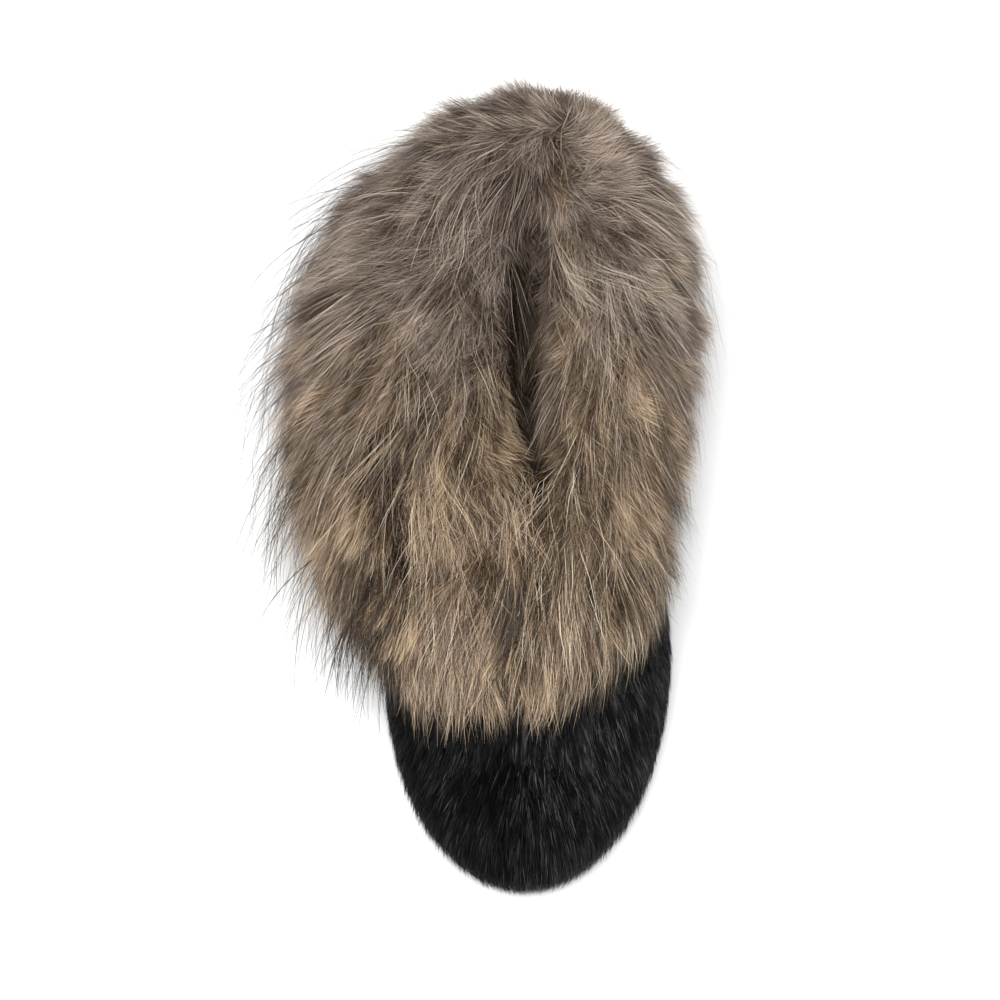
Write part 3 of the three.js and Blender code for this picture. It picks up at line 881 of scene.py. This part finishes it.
# Sets of hairs: name, width, material and growth. The tones are a middle tone, its spread from hair to hair
# and its spread from streak to streak.
fur_sets = [
    ("fur_plush_a", 0.5, plush_hair, dict(
        seed=21, count=115000, steps=2, shares=(-0.1, 0.95), length=(6.5, 11), depth=6.5, rise=(-5, 1),
        stray=3, clump=0.15, tones=(0.6, 0.1, 0.14))),
    ("fur_plush_b", 0.46, plush_hair, dict(
        seed=22, count=130000, steps=2, shares=(-0.1, 0.94), length=(9, 14.5), depth=7.2, rise=(-3, 2.5),
        stray=3, clump=0.35, tones=(0.67, 0.12, 0.24))),
    ("fur_guard_a", 0.2, guard_hair, dict(
        seed=23, count=18000, steps=5, shares=(-0.1, 0.95), length=(32, 48), depth=16, rise=(0, 4),
        stray=2, clump=0.6, tones=(0.55, 0.14, 0.3))),
    ("fur_guard_b", 0.19, guard_hair, dict(
        seed=24, count=18000, steps=5, shares=(-0.1, 0.92), length=(42, 60), depth=17, rise=(1, 6),
        stray=2.5, clump=0.7, tones=(0.6, 0.16, 0.34))),
    ("fur_fringe", 0.2, tipped_hair, dict(
        seed=28, count=1500, steps=5, shares=(0.8, 0.97), length=(30, 46), depth=10, rise=(0, 4),
        stray=2, clump=0.6, tones=(0.3, 0.1, 0.1), turns=(-44.0, 44.0))),
    ("fur_spikes", 0.24, guard_hair, dict(
        seed=29, count=2200, steps=5, shares=(0.82, 0.95), length=(26, 42), depth=8, rise=(0, 4),
        stray=1.5, clump=0.88, tones=(0.68, 0.12, 0.2), turns=(-46.0, 46.0))),
    ("fur_whorl", 0.46, plush_hair, dict(
        seed=30, count=9000, steps=2, shares=(0.16, 0.6), length=(6, 11), depth=4, rise=(1, 5),
        stray=5, clump=0.0, tones=(0.57, 0.1, 0.14), turns=(160.0, 222.0))),
    ("fur_tipped", 0.18, tipped_hair, dict(
        seed=25, count=900, steps=7, shares=(0.3, 0.95), length=(50, 64), depth=15, rise=(5, 12),
        stray=6, clump=0.3, tones=(0.4, 0.14, 0.2))),
    ("fur_wisps", 0.32, tipped_hair, dict(
        seed=27, count=900, steps=7, shares=(0.6, 0.92), length=(50, 64), depth=12, rise=(12, 26),
        stray=3, clump=0.72, tones=(0.3, 0.12, 0.1), turns=(20.0, 160.0))),
    ("fur_pale", 0.17, pale_hair, dict(
        seed=26, count=1400, steps=7, shares=(-0.05, 0.92), length=(36, 58), depth=14, rise=(1, 6),
        stray=6, clump=0.6, tones=(0.4, 0.25, 0.1))),
]
for name, width, material, how in fur_sets:
    path, facing, tone = long_strands(**how)
    width_rng = np.random.default_rng(how["seed"] + WIDTHS["seed"])
    widths = width * width_rng.uniform(*WIDTHS["spread"], len(path))
    piece = ribbons(name, path, facing, widths, tone, material)


# Skin under the long fur, a closed ring a little inside the hair
BODY = {"turns": 96, "shares": 22, "end": 0.98}
# Depth of the skin under the hair: at the mouth, what is added down to a share, and what the heel takes off.
# What is added is less in front than at the sides.
SKIN_DEPTH = {"mouth": 6.0, "added": 9.0, "share": 0.4, "heel": 3.0, "side": 0.75, "front": 0.25}
# Inner side of the ring: how far it draws in at the hem, and its heights from the hem and from the mouth
BODY_INNER = {"drawn_in": 0.28, "over_hem": 5.0, "under_mouth": 6.0}


def fur_body(material):
    turns = np.arange(BODY["turns"]) * 360.0 / BODY["turns"]
    shares = np.linspace(0, BODY["end"], BODY["shares"])
    turn, share = np.meshgrid(turns, shares, indexing="ij")
    by_turn = SKIN_DEPTH["side"] - SKIN_DEPTH["front"] * np.cos(np.radians(turn))
    depth = SKIN_DEPTH["mouth"] + SKIN_DEPTH["added"] * ease(share / SKIN_DEPTH["share"]) * by_turn
    depth -= SKIN_DEPTH["heel"] * near_heel(turn, WHORL["wide"])
    outer = form.look(form.point, turn, share) - form.look(form.normal, turn, share) * depth[..., None]
    kept = 1 - BODY_INNER["drawn_in"]
    middle = np.array([0, OVAL["centre"] - LENGTH / 2, 0])
    under = outer[:, -1] * np.array([kept, kept, 1]) + middle * BODY_INNER["drawn_in"]
    under += np.array([0, 0, BODY_INNER["over_hem"]])
    inner = outer[:, 0] - np.array([0, 0, BODY_INNER["under_mouth"]])
    section = np.concatenate([outer, under[:, None], inner[:, None]], 1)
    rows, columns = section.shape[:2]
    index = np.arange(rows * columns).reshape(rows, columns)
    beside = np.roll(index, -1, 0)
    quads = np.stack([index, beside, np.roll(beside, -1, 1), np.roll(index, -1, 1)], -1)
    starts = np.arange(rows * columns) * 4
    return mesh_from("fur_body", section.reshape(-1, 3), quads.reshape(-1), starts, material)


skin = mottled_material(
    "fur_skin", dark=(0.012, 0.009, 0.007), pale=(0.06, 0.045, 0.035), scale=240, roughness=0.95, bump=0.5
)
body = fur_body(skin)
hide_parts("fur_collar")


# Short black hair on the upper: tries in each set, steps of a hair, its length, rise and width, and its
# least height over the floor
SHORT_HAIR = {
    "tries": 120000,
    "steps": 3,
    "long": (8.0, 14.0),
    "rise": (1.0, 2.6),
    "width": (0.26, 0.44),
    "floor": 0.6,
}
# Roots: their lifts on the upper, the step that measures it, the percentile of area that is kept in full,
# and the limits that the step keeps to
SHORT_ROOTS = {"lift": (0.01, 0.99), "step": 0.003, "full": 93}
UPPER_LIMITS = {"turn": (0.0005, 0.9995), "lift": (0.001, 0.999)}
# Hair under the collar is left out: behind a place and above a height, and above a height everywhere
COVERED = {"behind": 92, "over": 40, "top": 72}
# Way that the short hair lies: outward at a half width, toward the toe, down, and what single hairs add
SHORT_LAY = {"outward": 0.25, "half": 45, "forward": 0.75, "down": 0.75, "stray": 0.09}
# How soon short hair comes up to its full rise, and how much its facing varies
SHORT_ARCH = 1.15
SHORT_FACING = 0.4
# Height of the middle of the foot, which hair points away from
FOOT_MIDDLE = 12.0
# Streaks of short hair: how many, their form, how tips gather to their middle, and how they lift them
SHORT_STREAKS = {"count": 3600, "form": (1.0, 0.25, 0.5), "gather": 0.5, "power": 1.2, "lift": 0.8}
# Tone of short hair: base, and what streaks, single hairs and the inner side of the ridge add. The pale
# streaks are partly the hair's own tone and partly painted sheen, and the paler inner side is painted sheen
# where the light falls.
SHORT_TONE = {"base": 0.3, "streak": 0.34, "hair": 0.15, "inner": 0.1, "ridge": 8}


def short_streaks(rng, root):
    """For each root, the root in the middle of its streak, and the streak's own values from -1 to 1."""
    streak = rng.choice(len(root), SHORT_STREAKS["count"])
    drawn = root * np.array(SHORT_STREAKS["form"])
    tree = KDTree(len(streak))
    for i, k in enumerate(streak):
        tree.insert(drawn[k], i)
    tree.balance()
    mine = np.array([tree.find(place)[1] for place in drawn])
    value = rng.uniform(-1, 1, (len(streak), 3))[mine]
    return root[streak][mine], value


def short_strands(seed):
    """Paths, facings, tones and widths of hairs that lie on the upper toward the toe and the floor."""
    rng = np.random.default_rng(seed)
    tries = int(SHORT_HAIR["tries"] * DENSITY)
    side = rng.choice([-1.0, 1.0], tries)
    turn = rng.uniform(0, 1, tries)
    lift = rng.uniform(*SHORT_ROOTS["lift"], tries)
    step = SHORT_ROOTS["step"]

    def spot(at_turn, at_lift):
        at_turn = np.clip(at_turn, *UPPER_LIMITS["turn"])
        at_lift = np.clip(at_lift, *UPPER_LIMITS["lift"])
        return upper_point(side, at_turn, at_lift, np.zeros(tries))

    per_turn = (spot(turn + step, lift) - spot(turn - step, lift)) / (2 * step)
    per_lift = (spot(turn, lift + step) - spot(turn, lift - step)) / (2 * step)
    cross = np.cross(per_turn, per_lift)
    area = np.linalg.norm(cross, axis=-1)
    root = spot(turn, lift)
    covered = (root[:, 1] + LENGTH / 2 > COVERED["behind"]) & (root[:, 2] > COVERED["over"])
    shown = ~covered & (root[:, 2] < COVERED["top"])
    keep = (rng.uniform(0, 1, tries) < area / np.percentile(area, SHORT_ROOTS["full"])) & shown
    root = root[keep]
    out = unit(cross[keep] * side[keep][:, None])
    middle = root * np.array([0, 1, 0]) + np.array([0, 0, FOOT_MIDDLE])
    out = np.where(((root - middle) * out).sum(-1)[:, None] < 0, -out, out)

    # way that each hair lies, and its path
    count = len(root)
    outward = SHORT_LAY["outward"] * root[:, 0] / SHORT_LAY["half"]
    aim = np.stack([outward, np.full(count, -SHORT_LAY["forward"]), np.full(count, -SHORT_LAY["down"])], -1)
    aim += SHORT_LAY["stray"] * rng.normal(0, 1, (count, 3))
    lay = unit(aim - out * (aim * out).sum(-1)[:, None])
    long = rng.uniform(*SHORT_HAIR["long"], count)[:, None]
    t = np.linspace(0, 1, SHORT_HAIR["steps"])[None, :, None]
    arch = np.sin(np.pi / 2 * np.minimum(t * SHORT_ARCH, 1))
    path = root[:, None] + lay[:, None] * long[:, None] * t
    path += out[:, None] * (arch * rng.uniform(*SHORT_HAIR["rise"], count)[:, None, None])
    facing = unit(out[:, None] + SHORT_FACING * rng.normal(0, 1, (count, 1, 3)))
    streak_root, value = short_streaks(rng, root)
    apart = (streak_root - root) * np.array([1, 0, 0])
    gathered = apart[:, None] * SHORT_STREAKS["gather"] * t ** SHORT_STREAKS["power"]
    path += gathered + out[:, None] * (SHORT_STREAKS["lift"] * value[:, 1, None, None] * t)
    path[..., 2] = np.maximum(path[..., 2], SHORT_HAIR["floor"])
    # streaks are partly own tone and partly painted sheen; the paler inner side is painted sheen
    tone = SHORT_TONE["base"] + SHORT_TONE["streak"] * value[:, 0]
    tone += SHORT_TONE["hair"] * rng.normal(0, 1, count)
    tone += SHORT_TONE["inner"] * np.tanh(root[:, 0] / SHORT_TONE["ridge"])
    return path, facing, tone, rng.uniform(*SHORT_HAIR["width"], count)


# Black hair: the pale end of its tones is painted sheen on streaks, and its darker roots are painted shade
# of the hair's depth.
black_hair = hair_material(
    "black_hair",
    [(0.0, (0.0004, 0.0004, 0.0004)), (0.5, (0.0035, 0.0035, 0.0036)), (1.0, (0.075, 0.075, 0.079))],
    along=[(0.0, (0.3, 0.3, 0.3)), (0.5, WHOLE)],
    roughness=0.45,
    specular=0.07,
)
for name, seed in (("short_hair_a", 31), ("short_hair_b", 32)):
    path, facing, tone, width = short_strands(seed)
    piece = ribbons(name, path, facing, width, tone, black_hair)

# Solids that stay: name of the material, dark and pale colour, scale of its grain, roughness and bump
SOLID_LOOKS = {
    "upper": ("black_hide", (0.003, 0.003, 0.003), (0.01, 0.01, 0.01), 300, 0.7, 0.6),
    "outsole": ("sole_rubber", (0.012, 0.012, 0.013), (0.03, 0.03, 0.032), 700, 0.75, 0.5),
    "insole": ("footbed_pile", (0.02, 0.016, 0.014), (0.06, 0.05, 0.042), 420, 0.95, 0.8),
}
for node, look in SOLID_LOOKS.items():
    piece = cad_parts[node]
    piece.data.materials.clear()
    piece.data.materials.append(mottled_material(*look))

# Floor
FLOOR_SIZE = 6.0
bpy.ops.mesh.primitive_plane_add(size=FLOOR_SIZE, location=(0, 0, 0))
floor = bpy.context.object
floor.name = "floor"
floor_material, _, _, shader = new_material("floor_white")
shader.inputs["Base Color"].default_value = (0.9, 0.9, 0.9, 1)
shader.inputs["Roughness"].default_value = 0.9
floor.data.materials.append(floor_material)

# Camera at the photo's angle to the slipper
AZIMUTH = 6.0
ELEVATION = 60.0
ROLL = -4.6
DISTANCE = 1.3
LENS = 129.8
SENSOR = 36.0
NEAR = 0.05
FAR = 20.0
TARGET = Vector((-0.0115, 0.003, 0.05))
azimuth = math.radians(AZIMUTH)
elevation = math.radians(ELEVATION)
level = math.cos(elevation)
back = Vector((math.sin(azimuth) * level, -math.cos(azimuth) * level, math.sin(elevation)))
camera = bpy.data.objects.new("camera", bpy.data.cameras.new("camera"))
bpy.context.scene.collection.objects.link(camera)
turned = (-back).to_track_quat("-Z", "Y").to_matrix().to_4x4() @ Matrix.Rotation(math.radians(ROLL), 4, "Z")
camera.matrix_world = Matrix.Translation(TARGET + back * DISTANCE) @ turned
camera.data.lens = LENS
camera.data.sensor_width = SENSOR
camera.data.clip_start = NEAR
camera.data.clip_end = FAR
bpy.context.scene.camera = camera


# Light
LIT_POINT = (0, 0, 0.05)
WORLD_STRENGTH = 0.75


def area_light(name, place, size, power):
    data = bpy.data.lights.new(name, "AREA")
    data.size = size
    data.energy = power
    lamp = bpy.data.objects.new(name, data)
    bpy.context.scene.collection.objects.link(lamp)
    lamp.location = place
    lamp.rotation_euler = (Vector(LIT_POINT) - Vector(place)).to_track_quat("-Z", "Y").to_euler()


area_light("key", place=(-0.25, -0.6, 1.6), size=0.9, power=28)
area_light("fill", place=(0.5, -0.5, 1.5), size=1.2, power=10)
world = bpy.data.worlds.new("world")
bpy.context.scene.world = world
world.use_nodes = True
background = world.node_tree.nodes["Background"]
background.inputs["Color"].default_value = (1, 1, 1, 1)
background.inputs["Strength"].default_value = WORLD_STRENGTH
bpy.context.scene.view_settings.view_transform = "Standard"
